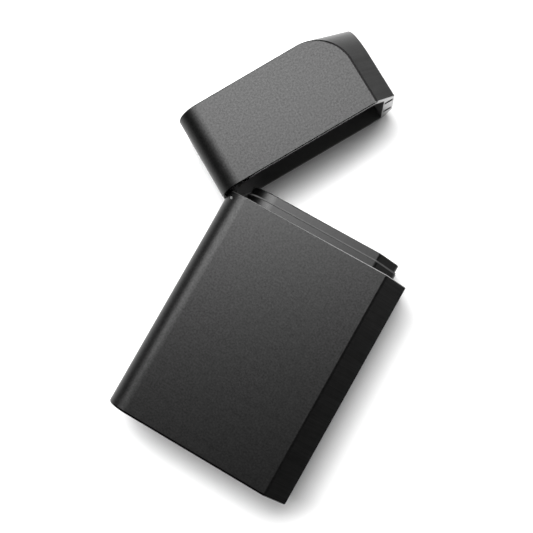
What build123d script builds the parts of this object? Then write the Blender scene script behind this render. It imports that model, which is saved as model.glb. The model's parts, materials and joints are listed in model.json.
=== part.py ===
from build123d import *
import os
from math import cos, radians, sin, tan

os.makedirs("parts", exist_ok=True)

# Flip-top, signal-blocking key case. It lies on its flat back, with the lid swung open.
# Origin: middle of the body's back, on the face it rests on. +X points to the closing side,
# +Y towards the lid, +Z out of the front face. All sizes are in millimetres.

# ---------------------------------------------------------------- outer section, body and lid
case_width = 62.3  # rounded hinge side to flat closing side
case_thickness = 24.0
hinge_side_round = 7.0  # both long edges of the hinge side
facet_width = 6.7  # slanted facet of the closing side, seen from the front
facet_drop = 5.4  # how far that facet falls below the front face
back_bevel_width = 3.2  # bevel between the closing side and the back
back_bevel_rise = 5.1
back_bevel_round = 2.0
front_edge_break = 0.4  # fine bevel where the front meets the facet and the lid's top

# ---------------------------------------------------------------- heights along the case
body_height = 75.0
lid_height = 28.5
closing_gap = 0.25  # between lid and body when the lid is shut
base_edge_round = 0.7  # lower rim of the body
rim_edge_break = 0.2  # polished bevel round the two meeting rims

# ---------------------------------------------------------------- inner sleeve and its neck
hinge_wall = 4.75  # between the sleeve and the outermost line of the hinge side
closing_wall = 4.45  # between the sleeve and the closing side
face_wall = 2.0  # between the sleeve and the front, and the sleeve and the back
sleeve_facet_round = 2.0  # where the sleeve's front meets its facet
sleeve_side_round = 2.6  # where that facet meets the closing side
sleeve_back_round = 4.0
least_round = 0.3  # of those three, where a lining is set far in
sleeve_fit = 0.05  # between the sleeve and the body's bore
sleeve_floor = 3.0
neck_ledge_height = 2.25  # the wide band of the neck above the body
neck_height = 5.15  # the whole neck above the body
neck_step = 0.55  # the narrow band stands in by this much
neck_wall = 1.2
neck_edge_break = 0.25
ledge_edge_break = 0.15
gasket_height = 0.4
gasket_width = 0.35
gasket_fit = 0.02

# ---------------------------------------------------------------- closing plug of the base
plug_thickness = 2.0
plug_recess = 0.3
plug_screw_spacing = 36.0
screw_bite = 2.4  # length of the plug screws in the sleeve's floor
screw_radius = 1.0
screw_head_radius = 1.9
screw_hole_fit = 0.02
screw_slot_width = 0.5
screw_slot_depth = 0.4
countersink = 90.0  # full angle of every screw head's cone

# ---------------------------------------------------------------- soft lining and pads
lining_thickness = 0.8
lining_fit = 0.05
lining_rim_drop = 0.5  # the pocket's lining ends this far below the neck's top
floor_pad_thickness = 3.0
lid_pad_thickness = 2.0
lid_lining_start = 6.0  # above the body's top, so that the neck passes below it
pad_fit = 0.1

# ---------------------------------------------------------------- hinge
pin_inset = 2.2  # pin axis from the flat of the hinge side
pin_drop = 2.0  # pin axis below the body's top
lid_open_angle = 59.6  # the lid is shown swung open against its stop
pin_radius = 0.6
pin_length = 18.6
pin_end_bevel = 0.15
pin_ear_fit = 0.01
pin_running_fit = 0.05
pin_access_radius = 0.8  # wider mouth of the pin hole, open on the rounded side
pin_end_bare = 0.4  # length of each pin end in that wider mouth
knuckle_radius = 1.4
knuckle_length = 6.0
knuckle_left = 0.9  # the tongue runs this far to the outer side of the pin
knuckle_right = 1.2
tongue_height = 6.5  # inside the lid's wall
tongue_fit = 0.05
knuckle_notch_clearance = 0.5  # between the knuckle and the round floor of its notch
knuckle_notch_drop = 0.25  # the notch is open on the hinge side down to this far below the pin
washer_thickness = 0.2
washer_radius = 1.3
washer_play = 0.05
stop_clearance = 0.2  # between the lid's rim and the slanted stop on the body
tongue_screw_height = 3.6  # above the lid's rim
tongue_screw_radius = 0.6
tongue_screw_head = 1.1
tongue_screw_bite = 1.65  # length of that screw in the tongue
tongue_screw_slot_width = 0.25
tongue_screw_slot_depth = 0.2

# ---------------------------------------------------------------- lid
lid_clearance = 0.4  # between the lid's bore and the neck
lid_top_wall = 2.2
lid_corner_radius = 12.8  # big round of the lid's top corner, on the front face

# ---------------------------------------------------------------- closing magnets
magnet_length = 2.8  # along the case's width
magnet_width = 2.0
magnet_depth = 2.5
magnet_recess = 0.35  # from the rim down to the magnet's face
magnet_fit = 0.03
magnet_wall = 0.45  # metal between a lid magnet's seat and the lid's bore
magnet_spacing = 8.8

# ---------------------------------------------------------------- derived places
left = -case_width / 2
right = case_width / 2
middle = case_thickness / 2
front_edge_x = right - facet_width
sleeve_width = case_width - hinge_wall - closing_wall
sleeve_thickness = case_thickness - 2 * face_wall
body_top = body_height / 2
body_base = -body_height / 2
lid_rim = body_top + closing_gap
lid_top = lid_rim + lid_height
neck_top = body_top + neck_height
ledge_top = body_top + neck_ledge_height
sleeve_x = right - closing_wall - sleeve_width / 2
plug_base = body_base + plug_recess
sleeve_base = plug_base + plug_thickness
pocket_floor = sleeve_base + sleeve_floor
pin_x = left + pin_inset
pin_y = body_top - pin_drop
magnet_x = right - closing_wall + lid_clearance + magnet_wall + magnet_fit + magnet_length / 2
screw_length = plug_thickness + screw_bite
past = 2.0  # how far a cutting shape runs past the face that it cuts
facet_direction = Vector(facet_width, 0, -facet_drop).normalized()
facet_normal = Vector(facet_drop, 0, facet_width).normalized()
slope_length = (case_thickness + past) / -facet_direction.Z  # down the slope, through the case

# ---------------------------------------------------------------- planes
# Everything is drawn with the case shut. A plane passed through on_lid() is then turned about
# the hinge pin, so that what is drawn on it stands where the open lid stands.
lid_swing = (
    Location((pin_x, pin_y, 0))
    * Location((0, 0, 0), (0, 0, lid_open_angle))
    * Location((-pin_x, -pin_y, 0))
)
front_plane = Plane.XY.offset(case_thickness)


def on_lid(plane):
    return Plane(lid_swing * plane.location)


def section_plane(height):
    """Plane across the case at a height on the Y axis, facing the base."""
    return Plane.XZ.offset(-height)


swing = radians(lid_open_angle)
lid_up = Axis((pin_x, pin_y, 0), (-sin(swing), cos(swing), 0))
lid_across = Axis((pin_x, pin_y, 0), (cos(swing), sin(swing), 0))
facet_line = Axis(
    (0, 0, 0),
    (facet_direction.X * cos(swing), facet_direction.X * sin(swing), facet_direction.Z),
)

# The slanted stop, drawn from the pin: its line touches a round that stands off the lid's rim.
stop_radius = pin_drop + closing_gap - stop_clearance
stop_reach = 2 * pin_inset
stop_touch = (-stop_radius * sin(swing), stop_radius * cos(swing))
stop_foot = (
    stop_touch[0] - stop_reach * cos(swing),
    stop_touch[1] - stop_reach * sin(swing),
)

# Places of what comes in pairs, as (X, Z) on a plane across the case.
plug_screw_places = [
    (sleeve_x - plug_screw_spacing / 2, middle),
    (sleeve_x + plug_screw_spacing / 2, middle),
]
magnet_places = [
    (magnet_x, middle + magnet_spacing / 2),
    (magnet_x, middle - magnet_spacing / 2),
]

# The knuckle turns in a notch with a round floor, with a washer at each end.
knuckle_notch_radius = knuckle_radius + knuckle_notch_clearance
knuckle_notch_right = knuckle_right + knuckle_notch_clearance
knuckle_notch_length = knuckle_length + 2 * washer_thickness + 4 * washer_play
pin_access_start = pin_length / 2 - pin_end_bare

# The knuckle's tongue stands in the lid's wall, held by a screw driven from the lid's bore.
tongue_top = pin_drop + closing_gap + tongue_height
tongue_x = (knuckle_right - knuckle_left) / 2
tongue_width = knuckle_left + knuckle_right
bore_left = left + hinge_wall - lid_clearance
tongue_screw_length = bore_left - pin_x - knuckle_right + tongue_screw_bite
tongue_screw_plane = on_lid(
    Plane((bore_left, lid_rim + tongue_screw_height, middle), x_dir=(0, 1, 0), z_dir=(1, 0, 0))
)


# ---------------------------------------------------------------- profiles
def case_outline():
    """Outer section: rounded at the hinge side, facet and back bevel at the closing side."""
    with BuildSketch() as outline:
        with BuildLine():
            Polyline(
                (left, 0),
                (left, case_thickness),
                (front_edge_x, case_thickness),
                (right, case_thickness - facet_drop),
                (right, back_bevel_rise),
                (right - back_bevel_width, 0),
                close=True,
            )
        make_face()
        fillet(vertices().group_by(Axis.X)[0], hinge_side_round)
        bevel_corners = vertices().filter_by(lambda v: v.X > 0 and v.Y < middle)
        fillet(bevel_corners, back_bevel_round)
    return outline.sketch


def hollow_outline(corners, grow):
    """Hollow with a full round at the hinge side and the given corners at the closing side."""
    radius = sleeve_thickness / 2 + grow
    round_x = left + hinge_wall + sleeve_thickness / 2
    with BuildSketch() as outline:
        with BuildLine():
            Polyline((round_x, middle + radius), *corners, (round_x, middle - radius))
            ThreePointArc(
                (round_x, middle - radius),
                (round_x - radius, middle),
                (round_x, middle + radius),
            )
        make_face()
    return outline.sketch


def bore_outline(grow):
    """The sleeve's hollow with square corners at the closing side."""
    radius = sleeve_thickness / 2 + grow
    end_x = right - closing_wall + grow
    return hollow_outline([(end_x, middle + radius), (end_x, middle - radius)], grow)


def sleeve_outline(grow=0.0):
    """The sleeve's wide band, whose facet lies as deep as its closing side; grown all round."""
    radius = sleeve_thickness / 2 + grow
    depth = closing_wall - grow
    end_x = right - depth
    slope = facet_drop / facet_width
    facet_foot = case_thickness - facet_drop + depth * ((1 - facet_normal.X) * slope - facet_normal.Z)
    facet_head = end_x - (middle + radius - facet_foot) / slope
    corners = [
        (facet_head, middle + radius),
        (end_x, facet_foot),
        (end_x, middle - radius),
    ]
    with BuildSketch() as outline:
        add(hollow_outline(corners, grow))
        rounds = (sleeve_facet_round, sleeve_side_round, sleeve_back_round)
        for corner, corner_round in zip(corners, rounds):
            fillet(vertices().sort_by_distance(corner)[0], max(corner_round + grow, least_round))
    return outline.sketch


def corner_waste(facet_inset, top_inset, foot):
    """What the lid's big round corner leaves off down to its foot, drawn on the front face."""
    edge_x = front_edge_x - facet_inset
    top_y = lid_top - top_inset
    radius = lid_corner_radius - top_inset
    arc_head = (edge_x - radius, top_y)
    with BuildSketch() as waste:
        with BuildLine():
            CenterArc((edge_x - radius, top_y - radius), radius, 0, 90)
            Polyline(
                arc_head,
                (edge_x - radius, lid_top + past),
                (right + past, lid_top + past),
                (right + past, foot),
                (edge_x, foot),
                (edge_x, top_y - radius),
            )
        make_face()
    return waste.sketch


def lid_hollow(inset, low, high):
    """Hollow of the lid, held off its walls by inset, between two heights of the shut case."""
    with BuildPart() as hollow:
        with BuildSketch(on_lid(section_plane(high - inset))):
            add(bore_outline(lid_clearance - inset))
        extrude(amount=high - inset - low)
        facet_inset = (face_wall - lid_clearance + inset) / facet_normal.X
        with BuildSketch(on_lid(front_plane)):
            add(corner_waste(facet_inset, lid_top_wall + inset, low - past))
        extrude(amount=slope_length, dir=facet_line.direction, mode=Mode.SUBTRACT)
    return hollow.part


def magnet_outline(grow=0.0):
    """Bar magnet, or its seat, seen from the rim."""
    with BuildSketch() as outline:
        Rectangle(magnet_length + 2 * grow, magnet_width + 2 * grow)
    return outline.sketch


def screw(plane, radius, head_radius, length, slot_width, slot_depth):
    """Slotted screw whose countersunk head lies flush with the given plane."""
    head_depth = (head_radius - radius) / tan(radians(countersink / 2))
    with BuildPart() as one_screw:
        with BuildSketch(plane):
            Circle(head_radius)
        with BuildSketch(plane.offset(-head_depth)):
            Circle(radius)
        loft()
        with BuildSketch(plane.offset(-head_depth)):
            Circle(radius)
        extrude(amount=head_depth - length)
        with BuildSketch(plane):
            Rectangle(2 * head_radius, slot_width)
        extrude(amount=-slot_depth, mode=Mode.SUBTRACT)
    return one_screw.part


def finish(builder, name, colour):
    builder.part.label = name
    builder.part.color = Color(*colour)
    export_step(builder.part, f"parts/{name}.step")


# ---------------------------------------------------------------- colours
black_metal = (0.16, 0.16, 0.17)
neck_metal = (0.30, 0.30, 0.31)
steel = (0.70, 0.70, 0.72)
soft_black = (0.05, 0.05, 0.05)

# ---------------------------------------------------------------- body shell
with BuildPart() as body_shell:
    with BuildSketch(section_plane(body_top)):
        add(case_outline())
        add(sleeve_outline(sleeve_fit), mode=Mode.SUBTRACT)
    extrude(amount=body_height)
    long_front_edge = edges().filter_by(Axis.Y).group_by(Axis.Z)[-1].sort_by(Axis.X)[-1]
    chamfer(long_front_edge, front_edge_break)
    base_rim = faces().sort_by(Axis.Y)[0].outer_wire().edges()
    fillet(base_rim, base_edge_round)
    top_rim = faces().sort_by(Axis.Y)[-1].outer_wire().edges()
    chamfer(top_rim, rim_edge_break)
    # room for the lid's rim, from a round about the pin to the slanted stop that it opens against
    with BuildSketch(Plane.XY):
        with Locations((pin_x, pin_y)):
            Polygon(
                (0, 0),
                stop_touch,
                stop_foot,
                (stop_foot[0], stop_reach),
                (0, stop_reach),
                align=None,
            )
            Circle(stop_radius, mode=Mode.SUBTRACT)
    extrude(amount=case_thickness, mode=Mode.SUBTRACT)
    with BuildSketch(Plane.XY.offset(middle - knuckle_notch_length / 2)):
        with Locations((pin_x, pin_y)):
            Circle(knuckle_notch_radius)
            Polygon(
                (-stop_reach, -knuckle_notch_drop),
                (knuckle_notch_right, -knuckle_notch_drop),
                (knuckle_notch_right, stop_reach),
                (-stop_reach, stop_reach),
                align=None,
            )
    extrude(amount=knuckle_notch_length, mode=Mode.SUBTRACT)
    with BuildSketch(Plane.XY):
        with Locations((pin_x, pin_y)):
            Circle(pin_radius + pin_ear_fit)
    extrude(amount=case_thickness, mode=Mode.SUBTRACT)
    for side in (1, -1):
        with BuildSketch(Plane.XY.offset(middle + side * pin_access_start)):
            with Locations((pin_x, pin_y)):
                Circle(pin_access_radius)
        extrude(amount=side * middle, mode=Mode.SUBTRACT)
    with BuildSketch(section_plane(body_top)):
        with Locations(*magnet_places):
            add(magnet_outline(magnet_fit))
    extrude(amount=magnet_recess + magnet_depth + magnet_fit, mode=Mode.SUBTRACT)
finish(body_shell, "body_shell", black_metal)

# ---------------------------------------------------------------- bottom plug and its screws
with BuildPart() as bottom_plug:
    with BuildSketch(section_plane(sleeve_base)):
        add(sleeve_outline())
    extrude(amount=plug_thickness)
    with Locations(section_plane(plug_base)):
        with Locations(*plug_screw_places):
            CounterSinkHole(
                screw_radius + screw_hole_fit,
                screw_head_radius + screw_hole_fit,
                counter_sink_angle=countersink,
            )
finish(bottom_plug, "bottom_plug", black_metal)

with BuildPart() as plug_screws:
    for place_x, place_z in plug_screw_places:
        head_plane = Plane((place_x, plug_base, place_z), x_dir=(1, 0, 0), z_dir=(0, -1, 0))
        add(
            screw(
                head_plane, screw_radius, screw_head_radius,
                screw_length, screw_slot_width, screw_slot_depth,
            )
        )
finish(plug_screws, "plug_screws", steel)

# ---------------------------------------------------------------- inner sleeve
with BuildPart() as inner_sleeve:
    with BuildSketch(section_plane(ledge_top)):
        add(sleeve_outline())
    extrude(amount=ledge_top - sleeve_base)
    ledge_rim = faces().sort_by(Axis.Y)[-1].edges()
    chamfer(ledge_rim, ledge_edge_break)
    with BuildSketch(section_plane(neck_top)):
        add(sleeve_outline(-neck_step))
    extrude(amount=neck_top - ledge_top)
    neck_rim = faces().sort_by(Axis.Y)[-1].edges()
    chamfer(neck_rim, neck_edge_break)
    with BuildSketch(section_plane(neck_top)):
        add(sleeve_outline(-neck_step - neck_wall))
    extrude(amount=neck_top - pocket_floor, mode=Mode.SUBTRACT)
    with BuildSketch(section_plane(sleeve_base)):
        with Locations(*plug_screw_places):
            Circle(screw_radius + screw_hole_fit)
    extrude(amount=-sleeve_floor, mode=Mode.SUBTRACT)
finish(inner_sleeve, "inner_sleeve", neck_metal)

with BuildPart() as neck_gasket:
    with BuildSketch(section_plane(ledge_top + gasket_height)):
        add(sleeve_outline(gasket_width - neck_step))
        add(sleeve_outline(gasket_fit - neck_step), mode=Mode.SUBTRACT)
    extrude(amount=gasket_height)
finish(neck_gasket, "neck_gasket", soft_black)

# ---------------------------------------------------------------- soft lining of the pocket
pocket_inset = neck_step + neck_wall + lining_fit
with BuildPart() as pocket_lining:
    with BuildSketch(section_plane(neck_top - lining_rim_drop)):
        add(sleeve_outline(-pocket_inset))
        add(sleeve_outline(-pocket_inset - lining_thickness), mode=Mode.SUBTRACT)
    extrude(amount=neck_top - lining_rim_drop - pocket_floor)
finish(pocket_lining, "pocket_lining", soft_black)

with BuildPart() as pocket_floor_pad:
    with BuildSketch(section_plane(pocket_floor + floor_pad_thickness)):
        add(sleeve_outline(-pocket_inset - lining_thickness - pad_fit))
    extrude(amount=floor_pad_thickness)
finish(pocket_floor_pad, "pocket_floor_pad", soft_black)

# ---------------------------------------------------------------- hinge pin and washers
with BuildPart() as hinge_pin:
    with BuildSketch(Plane.XY.offset(middle - pin_length / 2)):
        with Locations((pin_x, pin_y)):
            Circle(pin_radius)
    extrude(amount=pin_length)
    chamfer(edges().filter_by(GeomType.CIRCLE), pin_end_bevel)
finish(hinge_pin, "hinge_pin", steel)

with BuildPart() as hinge_washers:
    for side in (1, -1):
        with BuildSketch(Plane.XY.offset(middle + side * (knuckle_length / 2 + washer_play))):
            with Locations((pin_x, pin_y)):
                Circle(washer_radius)
                Circle(pin_radius + pin_ear_fit, mode=Mode.SUBTRACT)
        extrude(amount=side * washer_thickness)
finish(hinge_washers, "hinge_washers", steel)

# ---------------------------------------------------------------- lid shell
with BuildPart() as lid_shell:
    with BuildSketch(on_lid(section_plane(lid_top))):
        add(case_outline())
    extrude(amount=lid_height)
    with BuildSketch(on_lid(front_plane)):
        add(corner_waste(0, 0, lid_top - lid_corner_radius - past))
    extrude(amount=slope_length, dir=facet_line.direction, mode=Mode.SUBTRACT)
    # the front's edges but the mouth's and the one where the round side begins, then the top's
    front_face = faces().sort_by(Axis.Z)[-1]
    front_edges = front_face.edges().sort_by(lid_up)[1:].sort_by(lid_across)[1:]
    top_face = faces().sort_by(lid_up)[-1]
    top_edges = top_face.edges() - top_face.edges().filter_by(facet_line)
    chamfer(ShapeList(set(front_edges + top_edges)), front_edge_break)
    mouth_rim = faces().sort_by(lid_up)[0].edges()
    chamfer(mouth_rim, rim_edge_break)
    add(lid_hollow(0, lid_rim - past, lid_top - lid_top_wall), mode=Mode.SUBTRACT)
    with BuildSketch(on_lid(section_plane(lid_rim))):
        with Locations(*magnet_places):
            add(magnet_outline(magnet_fit))
    extrude(amount=-magnet_recess - magnet_depth - magnet_fit, mode=Mode.SUBTRACT)
    # seat of the knuckle's tongue, with the hole of its screw
    with BuildSketch(on_lid(section_plane(lid_rim))):
        with Locations((pin_x + tongue_x, middle)):
            Rectangle(tongue_width + 2 * tongue_fit, knuckle_length + 2 * tongue_fit)
    extrude(amount=-tongue_height - tongue_fit, mode=Mode.SUBTRACT)
    with Locations(tongue_screw_plane):
        CounterSinkHole(
            tongue_screw_radius + screw_hole_fit,
            tongue_screw_head + screw_hole_fit,
            depth=tongue_screw_length,
            counter_sink_angle=countersink,
        )
finish(lid_shell, "lid_shell", black_metal)

# ---------------------------------------------------------------- knuckle and its screw
with BuildPart() as hinge_knuckle:
    with BuildSketch(on_lid(Plane.XY.offset(middle - knuckle_length / 2))):
        with Locations((pin_x, pin_y)):
            Circle(knuckle_radius)
            with Locations((tongue_x, tongue_top / 2)):
                Rectangle(tongue_width, tongue_top)
            Circle(pin_radius + pin_running_fit, mode=Mode.SUBTRACT)
    extrude(amount=knuckle_length)
    with BuildSketch(tongue_screw_plane):
        Circle(tongue_screw_radius + screw_hole_fit)
    extrude(amount=-tongue_screw_length, mode=Mode.SUBTRACT)
finish(hinge_knuckle, "hinge_knuckle", steel)

with BuildPart() as knuckle_screw:
    add(
        screw(
            tongue_screw_plane, tongue_screw_radius, tongue_screw_head,
            tongue_screw_length, tongue_screw_slot_width, tongue_screw_slot_depth,
        )
    )
finish(knuckle_screw, "knuckle_screw", steel)

# ---------------------------------------------------------------- lid lining and pad
lid_inside_top = lid_top - lid_top_wall
lid_lining_rim = body_top + lid_lining_start
with BuildPart() as lid_lining:
    add(lid_hollow(lining_fit, lid_lining_rim, lid_inside_top))
    add(
        lid_hollow(lining_fit + lining_thickness, lid_lining_rim - past, lid_inside_top),
        mode=Mode.SUBTRACT,
    )
finish(lid_lining, "lid_lining", soft_black)

pad_inset = lining_fit + lining_thickness + pad_fit
with BuildPart() as lid_top_pad:
    add(lid_hollow(pad_inset, lid_inside_top - pad_inset - lid_pad_thickness, lid_inside_top))
finish(lid_top_pad, "lid_top_pad", soft_black)

# ---------------------------------------------------------------- closing magnets, four alike
for magnet_name, magnet_place in zip(("front", "back"), magnet_places):
    with BuildPart() as body_magnet:
        with BuildSketch(section_plane(body_top - magnet_recess)):
            with Locations(magnet_place):
                add(magnet_outline())
        extrude(amount=magnet_depth)
    finish(body_magnet, f"body_magnet_{magnet_name}", steel)

    with BuildPart() as lid_magnet:
        with BuildSketch(on_lid(section_plane(lid_rim + magnet_recess))):
            with Locations(magnet_place):
                add(magnet_outline())
        extrude(amount=-magnet_depth)
    finish(lid_magnet, f"lid_magnet_{magnet_name}", steel)
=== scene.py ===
import json
from math import atan2, cos, pi, radians, sin

import bmesh
import bpy
from mathutils import Matrix, Vector


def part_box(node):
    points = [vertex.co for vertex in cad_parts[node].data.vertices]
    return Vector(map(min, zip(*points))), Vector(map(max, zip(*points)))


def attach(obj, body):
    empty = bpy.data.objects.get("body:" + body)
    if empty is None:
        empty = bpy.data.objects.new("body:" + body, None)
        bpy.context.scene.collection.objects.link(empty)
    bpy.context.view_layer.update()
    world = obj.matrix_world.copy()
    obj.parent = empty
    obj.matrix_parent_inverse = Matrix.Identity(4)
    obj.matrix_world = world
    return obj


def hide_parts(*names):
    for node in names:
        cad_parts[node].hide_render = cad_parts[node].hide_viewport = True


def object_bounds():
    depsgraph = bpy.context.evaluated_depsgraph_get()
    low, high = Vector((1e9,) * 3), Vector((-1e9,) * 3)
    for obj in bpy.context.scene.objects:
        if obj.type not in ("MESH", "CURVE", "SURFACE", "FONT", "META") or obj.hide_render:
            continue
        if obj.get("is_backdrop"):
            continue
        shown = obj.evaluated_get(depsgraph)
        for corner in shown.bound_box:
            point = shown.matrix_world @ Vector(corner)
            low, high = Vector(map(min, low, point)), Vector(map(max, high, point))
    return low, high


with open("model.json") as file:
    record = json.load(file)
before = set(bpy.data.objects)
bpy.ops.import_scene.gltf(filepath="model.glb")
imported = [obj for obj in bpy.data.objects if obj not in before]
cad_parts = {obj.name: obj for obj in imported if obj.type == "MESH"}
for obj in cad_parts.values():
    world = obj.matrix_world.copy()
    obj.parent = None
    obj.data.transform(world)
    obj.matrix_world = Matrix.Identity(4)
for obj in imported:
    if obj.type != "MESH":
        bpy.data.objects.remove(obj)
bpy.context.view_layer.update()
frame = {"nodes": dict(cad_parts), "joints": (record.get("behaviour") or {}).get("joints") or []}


# ---------------------------------------------------------------- outer shell, body and lid
# Two pieces of one aluminium extrusion, bead-blasted, brushed along the closing side and anodised
# black. The rims are cut last, which leaves bare metal round the body's mouth and at the lid's
# magnets. The lid's other rim and the body's base edge are glossy, with painted shade that darkens
# them to near-black. The lid's bore stays dull.
MM = 0.001
body_low, body_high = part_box("body_shell")
closing_gap = 0.25 * MM
lid_rim = body_high.y + closing_gap
lid_height = 28.5 * MM
facet_run, facet_drop = 6.7, 5.4
facet_slope = Vector((facet_run, 0, -facet_drop)).normalized()
hinge = frame["joints"][0]
pin = Vector(hinge["pos_m"])
swing = -radians(hinge["range_deg"][0])


def new_material(name):
    material = bpy.data.materials.new(name)
    material.use_nodes = True
    return material, material.node_tree, material.node_tree.nodes["Principled BSDF"]


def add_node(tree, kind, values=(), **settings):
    """A shader node with its settings and the values of its inputs."""
    node = tree.nodes.new("ShaderNode" + kind)
    for key, value in settings.items():
        setattr(node, key, value)
    for key, value in dict(values).items():
        node.inputs[key].default_value = value
    return node


def feed(tree, value, place):
    """Gives an input a number or the result of another node."""
    if isinstance(value, bpy.types.NodeSocket):
        tree.links.new(value, place)
    else:
        place.default_value = value


def math_node(tree, operation, first, second):
    """One step of arithmetic on sockets or numbers."""
    node = add_node(tree, "Math", operation=operation)
    feed(tree, first, node.inputs[0])
    feed(tree, second, node.inputs[1])
    return node.outputs[0]


def sum_node(tree, base, *parts):
    """The base plus every part, each a socket and its share."""
    total = base
    for socket, share in parts:
        total = math_node(tree, "ADD", total, math_node(tree, "MULTIPLY", socket, share))
    return total


def mix_node(tree, share, first, second):
    """A blend from first, where the share is 0, to second, where it is 1."""
    rest = math_node(tree, "SUBTRACT", 1.0, share)
    return math_node(tree, "ADD", math_node(tree, "MULTIPLY", first, rest),
                     math_node(tree, "MULTIPLY", second, share))


def ramp_node(tree, value, low, high):
    """0 below low and 1 above high, with a smooth step between."""
    node = add_node(tree, "MapRange", {"From Min": low, "From Max": high},
                    interpolation_type="SMOOTHSTEP")
    tree.links.new(value, node.inputs["Value"])
    return node.outputs["Result"]


def below_node(tree, value, low, high):
    """1 below low and 0 above high."""
    return math_node(tree, "SUBTRACT", 1.0, ramp_node(tree, value, low, high))


def coordinate(tree, vector, axis):
    parts = add_node(tree, "SeparateXYZ")
    tree.links.new(vector, parts.inputs[0])
    return parts.outputs[axis]


def noise_node(tree, vector, size, detail, roughness):
    node = add_node(tree, "TexNoise", {"Scale": 1 / size, "Detail": detail, "Roughness": roughness})
    tree.links.new(vector, node.inputs["Vector"])
    return node.outputs["Fac"]


def raise_grain(tree, shader, height, strength, depth):
    """Relief on the surface from a pattern between 0 and 1."""
    bump = add_node(tree, "Bump", {"Strength": strength, "Distance": depth})
    tree.links.new(height, bump.inputs["Height"])
    tree.links.new(bump.outputs["Normal"], shader.inputs["Normal"])


def colour_grey(tree, shader, tone):
    colour = add_node(tree, "CombineColor")
    for part in colour.inputs[:3]:
        tree.links.new(tone, part)
    tree.links.new(colour.outputs[0], shader.inputs["Base Color"])


def shut_case_vectors(tree, turn_back):
    """Point and normal on the shut case; turn_back is the lid's swing, or nothing on the body."""
    place = add_node(tree, "TexCoord")
    turned_pin = Matrix.Rotation(-turn_back, 3, "Z") @ pin
    turn = (0, 0, -turn_back)
    point = add_node(tree, "Mapping", {"Location": pin - turned_pin, "Rotation": turn})
    normal = add_node(tree, "Mapping", {"Rotation": turn})
    tree.links.new(place.outputs["Object"], point.inputs["Vector"])
    tree.links.new(place.outputs["Normal"], normal.inputs["Vector"])
    return point.outputs["Vector"], normal.outputs["Vector"]


def black_anodised(name, turn_back, places):
    """The shell's finish. Each of places is a mask and what differs there, one over the other."""
    material, tree, shader = new_material(name)
    point, normal = shut_case_vectors(tree, turn_back)

    # brushed: the closing side, and the lid's round corner until it runs into the top
    top_share = 0.3
    brush_start, brush_full = 0.35, 0.55
    outward = sum_node(tree, coordinate(tree, normal, "X"),
                       (coordinate(tree, normal, "Y"), top_share))
    brushed = ramp_node(tree, outward, brush_start, brush_full)

    blast_size, cloud_size = 0.60 * MM, 2.4 * MM
    brush_length, brush_width = 14 * MM, 0.30 * MM
    blast = noise_node(tree, point, blast_size, detail=3.0, roughness=0.6)
    cloud = noise_node(tree, point, cloud_size, detail=2.0, roughness=0.5)
    down_facet = atan2(facet_slope.z, facet_slope.x)
    turn = add_node(tree, "Mapping", {"Rotation": (0, down_facet, 0)})
    tree.links.new(point, turn.inputs["Vector"])
    along, across = 1 / brush_length, 1 / brush_width
    stretch = add_node(tree, "Mapping", {"Scale": (along, across, across)})
    tree.links.new(turn.outputs["Vector"], stretch.inputs["Vector"])
    brush = noise_node(tree, stretch.outputs["Vector"], size=1.0, detail=3.0, roughness=0.65)
    grain = mix_node(tree, brushed, blast, brush)

    brush_relief = 2.5
    relief = mix_node(tree, brushed, blast, math_node(tree, "MULTIPLY", brush, brush_relief))
    raise_grain(tree, shader, relief, strength=0.35, depth=0.008 * MM)

    blasted_rough, blasted_spread = 0.37, 0.04
    brushed_rough, brushed_spread = 0.22, 0.24
    rough = mix_node(tree, brushed, sum_node(tree, blasted_rough, (cloud, blasted_spread)),
                     sum_node(tree, brushed_rough, (brush, brushed_spread)))

    black, cloud_tone, grain_tone = 0.0055, 0.005, 0.030
    streak_black, streak_tone = 0.007, 0.016
    streak = sum_node(tree, streak_black, (brush, streak_tone))
    speckle = mix_node(tree, brushed, math_node(tree, "MULTIPLY", grain, grain_tone), streak)
    tone = sum_node(tree, black, (speckle, 1.0), (cloud, cloud_tone))

    finish = {"tone": tone, "rough": rough, "metal": 1.0}
    for mask, changes in places:
        share = mask(tree, point, normal)
        for quality, value in changes.items():
            finish[quality] = mix_node(tree, share, finish[quality], value)
    colour_grey(tree, shader, finish["tone"])
    feed(tree, finish["rough"], shader.inputs["Roughness"])
    feed(tree, finish["metal"], shader.inputs["Metallic"])
    return material


def base_edge_painted_shade(tree, point, normal):
    """The rounded edge between the body's sides and its base, but not the base itself. Painted
    shade darkens it to near-black.
    """
    edge = 0.7 * MM
    base, side = -0.99, -0.95
    low = below_node(tree, coordinate(tree, point, "Y"), body_low.y + 0.9 * edge, body_low.y + edge)
    turned_up = ramp_node(tree, coordinate(tree, normal, "Y"), base, side)
    return math_node(tree, "MULTIPLY", low, turned_up)


def body_mouth(tree, point, normal):
    """The fine bevel round the body's mouth."""
    bevel = 0.2 * MM
    return ramp_node(tree, coordinate(tree, point, "Y"),
                     body_high.y - bevel, body_high.y - 0.9 * bevel)


def lid_rim_painted_shade(tree, point, normal):
    """The lid's rim and the fine bevel round it. Painted shade darkens it to near-black, except by
    the magnets.
    """
    bevel = 0.22 * MM
    return below_node(tree, coordinate(tree, point, "Y"), lid_rim + 0.9 * bevel, lid_rim + bevel)


def lid_magnet_rim(tree, point, normal):
    """The lid's rim on the closing side, where the magnets are let in."""
    cut = 0.26 * MM
    wall = 7.9 * MM
    low = below_node(tree, coordinate(tree, point, "Y"), lid_rim + 0.9 * cut, lid_rim + cut)
    outer = ramp_node(tree, coordinate(tree, point, "X"),
                      body_high.x - wall, body_high.x - 0.8 * wall)
    return math_node(tree, "MULTIPLY", low, outer)


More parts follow.
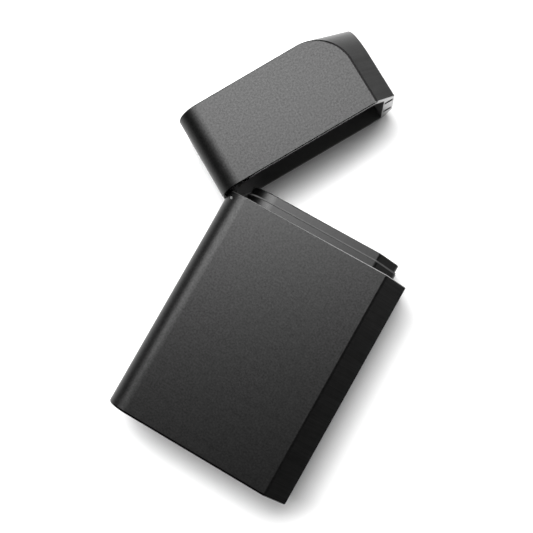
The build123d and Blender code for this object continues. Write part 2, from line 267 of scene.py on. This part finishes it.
def lid_bore(tree, point, normal):
    """The faces that look at the lid's middle."""
    slack = 0.5 * MM
    middle = Vector(((body_low.x + body_high.x) / 2, lid_rim + lid_height / 2, body_high.z / 2))
    away = add_node(tree, "VectorMath", {1: middle}, operation="SUBTRACT")
    tree.links.new(point, away.inputs[0])
    look = add_node(tree, "VectorMath", operation="DOT_PRODUCT")
    tree.links.new(away.outputs["Vector"], look.inputs[0])
    tree.links.new(normal, look.inputs[1])
    return below_node(tree, look.outputs["Value"], -slack, 0.0)


def dress(node_names, material):
    for name in node_names:
        piece = frame["nodes"][name]
        piece.data.materials.clear()
        piece.data.materials.append(material)


body_black = black_anodised("black_anodised_body", 0.0, [
    # painted shade: the base edge is darkened to near-black; its lower roughness is a real gloss
    (base_edge_painted_shade, {"tone": 0.001, "rough": 0.18}),
    (body_mouth, {"tone": 0.30, "rough": 0.5})])
dress(["body_shell", "bottom_plug"], body_black)
lid_black = black_anodised("black_anodised_lid", swing, [
    # painted shade: the lid's rim is darkened to near-black, standing in for the dark it reflects
    (lid_rim_painted_shade, {"tone": 0.001}),
    (lid_magnet_rim, {"tone": 0.28, "rough": 0.28}),
    (lid_rim_painted_shade, {"rough": 0.18}),
    (lid_bore, {"tone": 0.07, "rough": 0.75, "metal": 0.0})])
dress(["lid_shell"], lid_black)


# ---------------------------------------------------------------- inner sleeve with its neck
# A second, thinner-walled tube pressed into the body and anodised dark grey. Its stepped neck
# stands out of the body's mouth. Drawing the tube left fine lines along the case.
def drawn_metal(name, tone, rough, lines_along, line_width, depth):
    """Metal with fine lines along one axis of the case."""
    line_length = 12 * MM
    rough_spread = 0.12
    tone_spread = 0.4 * tone
    material, tree, shader = new_material(name)
    place = add_node(tree, "TexCoord")
    scale = [1 / line_width] * 3
    scale["XYZ".index(lines_along)] = 1 / line_length
    stretch = add_node(tree, "Mapping", {"Scale": scale})
    tree.links.new(place.outputs["Object"], stretch.inputs["Vector"])
    lines = noise_node(tree, stretch.outputs["Vector"], size=1.0, detail=3.0, roughness=0.6)
    raise_grain(tree, shader, lines, strength=0.4, depth=depth)
    feed(tree, sum_node(tree, rough - rough_spread / 2, (lines, rough_spread)),
         shader.inputs["Roughness"])
    colour_grey(tree, shader, sum_node(tree, tone - tone_spread / 2, (lines, tone_spread)))
    shader.inputs["Metallic"].default_value = 1.0
    return material


neck_metal = drawn_metal("dark_satin_neck", tone=0.024, rough=0.34, lines_along="Y",
                         line_width=0.22 * MM, depth=0.006 * MM)
dress(["inner_sleeve"], neck_metal)


# ---------------------------------------------------------------- gasket of the neck
# A bead of conductive rubber, moulded as a ring and stretched round the neck's ledge. It closes
# the last gap in the shield.
def soft_black(name, tone, rough, grain_size, depth, sheen):
    """Rubber, felt or foam: a fine grain with larger, fainter patches."""
    patch_size = 14 * grain_size
    least, grain_share, patch_share = 0.2 * tone, 1.1 * tone, 0.5 * tone
    material, tree, shader = new_material(name)
    place = add_node(tree, "TexCoord")
    grain = noise_node(tree, place.outputs["Object"], grain_size, detail=4.0, roughness=0.7)
    patch = noise_node(tree, place.outputs["Object"], patch_size, detail=2.0, roughness=0.5)
    raise_grain(tree, shader, grain, strength=0.8, depth=depth)
    colour_grey(tree, shader, sum_node(tree, least, (grain, grain_share), (patch, patch_share)))
    shader.inputs["Roughness"].default_value = rough
    shader.inputs["Sheen Weight"].default_value = sheen
    shader.inputs["Specular IOR Level"].default_value = 0.3
    return material


rubber = soft_black("gasket_rubber", tone=0.05, rough=0.55, grain_size=0.06 * MM,
                    depth=0.01 * MM, sheen=0.0)
dress(["neck_gasket"], rubber)


# ---------------------------------------------------------------- hinge, screws and magnets
# A blackened steel pin through the body's two ears and the lid's knuckle, with a washer at each
# end of the knuckle. Bright slotted screws hold the knuckle's tongue and the plug. The closing
# magnets are nickel-plated bars, ground flush with the rims.
steel = drawn_metal("turned_steel", tone=0.56, rough=0.26, lines_along="Z",
                    line_width=0.05 * MM, depth=0.004 * MM)
dress(["plug_screws", "knuckle_screw"], steel)
blackened = drawn_metal("blackened_steel", tone=0.03, rough=0.3, lines_along="Z",
                        line_width=0.05 * MM, depth=0.004 * MM)
dress(["hinge_pin", "hinge_washers", "hinge_knuckle"], blackened)
nickel = drawn_metal("ground_nickel", tone=0.62, rough=0.30, lines_along="Z",
                     line_width=0.12 * MM, depth=0.003 * MM)
dress(["body_magnet_front", "body_magnet_back", "lid_magnet_front", "lid_magnet_back"],
      nickel)


# ---------------------------------------------------------------- felt of the pocket
# A sleeve of short black felt, glued into the inner sleeve, so that nothing in it rattles or is
# scratched. It is cut a little short of the neck's top, and its edge is rounded by the shears.
facet_width = facet_run * MM
facet_normal = Vector((facet_drop, 0, facet_run)).normalized()


def pick(piece):
    """Makes a piece the only one selected."""
    bpy.ops.object.select_all(action="DESELECT")
    piece.select_set(True)
    bpy.context.view_layer.objects.active = piece


def select(piece, kind, wanted):
    """Selects, in edit mode, the faces or edges for which wanted says yes, and nothing else."""
    bpy.ops.mesh.select_mode(type=kind)
    mesh = bmesh.from_edit_mesh(piece.data)
    for element in (*mesh.verts, *mesh.edges, *mesh.faces):
        element.select = False
    for element in (mesh.faces if kind == "FACE" else mesh.edges):
        if wanted(element):
            element.select_set(True)
    bmesh.update_edit_mesh(piece.data)


def merge_doubles(reach):
    bpy.ops.mesh.select_all(action="SELECT")
    bpy.ops.mesh.remove_doubles(threshold=reach)


def runs_lengthways(edge):
    way = (edge.verts[1].co - edge.verts[0].co).normalized()
    return abs(way.y) > 0.999


def case_block(name, low, high, facet_depth, back_round=0.0):
    """A block shaped as the case's hollow: fully round at the hinge side, with a facet that lies
    facet_depth below the outer one and a rounded corner at the back. It stays in edit mode."""
    hair = 0.01 * MM
    bpy.ops.object.select_all(action="DESELECT")
    bpy.ops.mesh.primitive_cube_add(size=1, location=(low + high) / 2, scale=high - low)
    piece = bpy.context.active_object
    piece.name = name
    pick(piece)
    bpy.ops.object.transform_apply(location=True, rotation=True, scale=True)
    bpy.ops.object.mode_set(mode="EDIT")
    bpy.ops.mesh.select_all(action="SELECT")
    outer_facet = Vector((body_high.x - facet_width, 0, body_high.z))
    bpy.ops.mesh.bisect(plane_co=outer_facet - facet_depth * facet_normal, plane_no=facet_normal,
                        use_fill=True, clear_outer=True)
    if back_round:
        select(piece, "EDGE", lambda edge: runs_lengthways(edge)
               and edge.verts[0].co.x > high.x - hair and edge.verts[0].co.z < low.z + hair)
        bpy.ops.mesh.bevel(offset=back_round, segments=6, affect="EDGES")
    select(piece, "EDGE", lambda edge: runs_lengthways(edge) and edge.verts[0].co.x < low.x + hair)
    bpy.ops.mesh.bevel(offset=(high.z - low.z) / 2 - hair, segments=14, affect="EDGES")
    merge_doubles(3 * hair)
    return piece


def apply_modifier(piece, kind, **settings):
    modifier = piece.modifiers.new(kind.lower(), kind)
    for key, value in settings.items():
        setattr(modifier, key, value)
    bpy.context.view_layer.objects.active = piece
    bpy.ops.object.modifier_apply(modifier=modifier.name)


def round_edges(piece, width, segments, sharpness):
    """Rounds the edges that turn by more than sharpness, in degrees."""
    apply_modifier(piece, "BEVEL", width=width, segments=segments, limit_method="ANGLE",
                   angle_limit=radians(sharpness))


def fuzz(piece, size, height):
    """Small unevenness of a soft surface, inwards only."""
    texture = bpy.data.textures.new(piece.name + "_nap", "CLOUDS")
    texture.noise_scale = size
    texture.noise_depth = 1
    apply_modifier(piece, "DISPLACE", texture=texture, texture_coords="LOCAL", strength=height,
                   mid_level=1.0)


felt = soft_black("black_felt", tone=0.045, rough=0.95, grain_size=0.25 * MM,
                  depth=0.08 * MM, sheen=0.25)
felt_thickness = 0.8 * MM
felt_facet_depth = 6.25 * MM
felt_back_round = 2.2 * MM
low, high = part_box("pocket_lining")
pocket_felt = case_block("pocket_felt", low, high, felt_facet_depth, felt_back_round)
select(pocket_felt, "FACE", lambda face: abs(face.normal.y) > 0.9)
bpy.ops.mesh.delete(type="FACE")
select(pocket_felt, "EDGE", runs_lengthways)
bpy.ops.mesh.subdivide(number_cuts=40)
select(pocket_felt, "EDGE", lambda edge: not runs_lengthways(edge) and edge.calc_length() > 4 * MM)
bpy.ops.mesh.subdivide(number_cuts=16)
bpy.ops.object.mode_set(mode="OBJECT")
apply_modifier(pocket_felt, "SOLIDIFY", thickness=felt_thickness, offset=-1.0, use_even_offset=True)
round_edges(pocket_felt, width=0.3 * MM, segments=3, sharpness=60)
fuzz(pocket_felt, size=2.2 * MM, height=0.12 * MM)
bpy.ops.object.shade_smooth()
pocket_felt.data.materials.append(felt)
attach(pocket_felt, "body")
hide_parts("pocket_lining")


# ---------------------------------------------------------------- foam pad on the pocket's floor
# A die-cut pad of fine foam, pressed down into the felt sleeve. The foam is softer at its cut
# edge, so its top is crowned and its sides draw in.
foam = soft_black("fine_foam", tone=0.05, rough=0.9, grain_size=0.22 * MM,
                  depth=0.06 * MM, sheen=0.1)
pad_facet_depth = 7.15 * MM
crown_steps = ((0.9 * MM, 0.25 * MM), (1.6 * MM, 0.15 * MM), (2.0 * MM, 0.05 * MM))
crown_height = 0.45 * MM
low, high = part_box("pocket_floor_pad")
crown_foot = high - Vector((0, crown_height, 0))
floor_foam = case_block("pocket_floor_foam", low, crown_foot, pad_facet_depth)
select(floor_foam, "FACE", lambda face: face.normal.y > 0.9)
for inset, rise in crown_steps:
    bpy.ops.mesh.inset(thickness=inset, depth=0)
    bpy.ops.transform.translate(value=(0, rise, 0))
bpy.ops.object.mode_set(mode="OBJECT")
round_edges(floor_foam, width=0.5 * MM, segments=3, sharpness=50)
apply_modifier(floor_foam, "SUBSURF", levels=2, render_levels=2)
fuzz(floor_foam, size=1.6 * MM, height=0.08 * MM)
bpy.ops.object.shade_smooth()
floor_foam.data.materials.append(foam)
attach(floor_foam, "body")
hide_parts("pocket_floor_pad")


# ---------------------------------------------------------------- felt and foam of the lid
# The same felt is glued into the lid above the neck's reach, with a thin pad of the same foam
# under the lid's top. Both follow the lid's big rounded corner, which slants with the facet, so
# they are shaped as if the lid were shut and then swung open.
top_wall = 2.2 * MM
lining_start = body_high.y + 6.0 * MM
lining_end = lid_rim + lid_height - top_wall
lid_swing = Matrix.Translation(pin) @ Matrix.Rotation(swing, 4, "Z") @ Matrix.Translation(-pin)


def lid_block(name, inset, low_y, high_y):
    """A block that fills the lid's hollow, held off its walls by inset, as if the lid were shut."""
    bore_clearance = 0.4 * MM
    corner_radius = 12.8 * MM
    corner_cuts = 11
    facet_wall = 1.6 * MM
    sleeve_low, sleeve_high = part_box("inner_sleeve")
    grow = bore_clearance - inset
    low = Vector((sleeve_low.x - grow, low_y, sleeve_low.z - grow))
    high = Vector((sleeve_high.x + grow, high_y, sleeve_high.z + grow))
    facet_depth = facet_wall + inset
    piece = case_block(name, low, high, facet_depth)
    radius = corner_radius - top_wall - inset
    centre_x = body_high.x - facet_width - facet_depth / facet_normal.x - radius
    centre_y = lid_rim + lid_height - top_wall - inset - radius
    for cut in range(1, corner_cuts):
        turn = cut * pi / 2 / corner_cuts
        outward = Vector((cos(turn), sin(turn), 0))
        plane_normal = facet_slope.cross(Vector((-sin(turn), cos(turn), 0))).normalized()
        if plane_normal.dot(outward) < 0:
            plane_normal.negate()
        touch = Vector((centre_x, centre_y, body_high.z)) + radius * outward
        bpy.ops.mesh.select_all(action="SELECT")
        bpy.ops.mesh.bisect(plane_co=touch, plane_no=plane_normal, use_fill=True, clear_outer=True)
    return piece


def swing_open(piece):
    """Turns a finished piece from the shut lid to the photographed one."""
    piece.matrix_world = lid_swing
    pick(piece)
    bpy.ops.object.transform_apply(location=True, rotation=True, scale=True)
    bpy.ops.object.shade_smooth_by_angle(angle=radians(40))


glue_gap = 0.05 * MM
lid_felt = lid_block("lid_felt", glue_gap, lining_start, lining_end - glue_gap)
select(lid_felt, "FACE", lambda face: face.normal.y < -0.9)
bpy.ops.mesh.delete(type="FACE")
merge_doubles(0.001 * MM)
bpy.ops.object.mode_set(mode="OBJECT")
apply_modifier(lid_felt, "SOLIDIFY", thickness=felt_thickness, offset=-1.0, use_even_offset=True)
round_edges(lid_felt, width=0.25 * MM, segments=2, sharpness=60)
swing_open(lid_felt)
lid_felt.data.materials.append(felt)
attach(lid_felt, "lid")
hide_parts("lid_lining")

pad_inset = 0.95 * MM
pad_thickness = 2.0 * MM
pad_top = lining_end - pad_inset
lid_foam = lid_block("lid_top_foam", pad_inset, pad_top - pad_thickness, pad_top)
merge_doubles(0.001 * MM)
bpy.ops.object.mode_set(mode="OBJECT")
round_edges(lid_foam, width=0.4 * MM, segments=3, sharpness=50)
swing_open(lid_foam)
lid_foam.data.materials.append(foam)
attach(lid_foam, "lid")
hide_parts("lid_top_pad")


# ---------------------------------------------------------------- studio: floor, light, camera
# The case lies on a pale sheet, seen from almost straight above and turned in the picture.
# Softboxes hang over the table and stand round its upper half and its right, and a grey room
# fills in the rest. All of them are placed by the picture's own right and up.
camera_place = Vector((22.19, 7.94, 286.07)) * MM
camera_roll = 0.5097010
camera_pitch = 0.1040216
camera_yaw = 0.0753350
camera_turn = (Matrix.Rotation(camera_roll, 4, "Z") @ Matrix.Rotation(camera_pitch, 4, "X")
               @ Matrix.Rotation(camera_yaw, 4, "Y"))
camera_data = bpy.data.cameras.new("studio_camera")
camera_data.sensor_width = 36.0
camera_data.lens = 59.011
camera_data.clip_start = 0.01
camera_data.clip_end = 20.0
camera = bpy.data.objects.new("studio_camera", camera_data)
camera.matrix_world = Matrix.Translation(camera_place) @ camera_turn
bpy.context.scene.collection.objects.link(camera)
bpy.context.scene.camera = camera

bpy.ops.mesh.primitive_plane_add(size=6.0, location=(0, 0, 0))
floor = bpy.context.active_object
floor.name = "pale_floor"
paper, _, paper_shader = new_material("pale_paper")
paper_shader.inputs["Base Color"].default_value = (0.93, 0.93, 0.93, 1)
paper_shader.inputs["Roughness"].default_value = 0.9
paper_shader.inputs["Specular IOR Level"].default_value = 0.1
floor.data.materials.append(paper)
floor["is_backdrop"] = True

upwards = Vector((0, 0, 1))
picture_right = camera_turn.to_3x3() @ Vector((1, 0, 0))
picture_right = Vector((picture_right.x, picture_right.y, 0)).normalized()
picture_up = upwards.cross(picture_right)


def soft_light(name, place, back, side, width, depth, radiance):
    """A softbox: a rectangle that shines the opposite way to back, as bright as radiance."""
    data = bpy.data.lights.new(name, "AREA")
    data.shape = "RECTANGLE"
    data.size = width
    data.size_y = depth
    data.energy = radiance * pi * width * depth
    light = bpy.data.objects.new(name, data)
    turn = Matrix((side, back.cross(side), back)).transposed().to_4x4()
    light.matrix_world = Matrix.Translation(place) @ turn
    bpy.context.scene.collection.objects.link(light)


def hung_light(name, right, up, width, depth, radiance):
    """A level softbox over the table."""
    height = 0.6
    place = picture_right * right + picture_up * up + upwards * height
    soft_light(name, place, upwards, picture_right, width, depth, radiance)


def standing_light(name, azimuth, elevation, width, depth, radiance):
    """A softbox on a stand, a metre from the case. Azimuth 0 is the picture's right, 90 its top."""
    level = picture_right * cos(radians(azimuth)) + picture_up * sin(radians(azimuth))
    back = level * cos(radians(elevation)) + upwards * sin(radians(elevation))
    side = upwards.cross(back).normalized()
    soft_light(name, back, back, side, width, depth, radiance)


hung_light("top_light", right=0.0, up=0.355, width=0.40, depth=0.19, radiance=15.6)
hung_light("near_top_light", right=0.0, up=0.195, width=0.40, depth=0.13, radiance=12.7)
hung_light("left_top_light", right=-0.45, up=0.195, width=0.50, depth=0.13, radiance=4.3)
standing_light("top_left_light", 120, 66, width=0.244, depth=0.174, radiance=6.0)
standing_light("left_light", 135, 50, width=0.492, depth=0.416, radiance=9.7)
standing_light("back_right_light", 55, 18, width=0.313, depth=0.209, radiance=11.4)
standing_light("right_light", 22, 10, width=1.45, depth=0.174, radiance=1.9)
standing_light("low_right_light", -14, 21, width=0.30, depth=0.10, radiance=4.0)

world = bpy.data.worlds.new("studio")
world.use_nodes = True
world.node_tree.nodes["Background"].inputs["Color"].default_value = (0.5, 0.5, 0.5, 1)
world.node_tree.nodes["Background"].inputs["Strength"].default_value = 0.24
bpy.context.scene.world = world
bpy.context.scene.view_settings.view_transform = "Standard"
bpy.context.scene.view_settings.look = "None"

low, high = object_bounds()
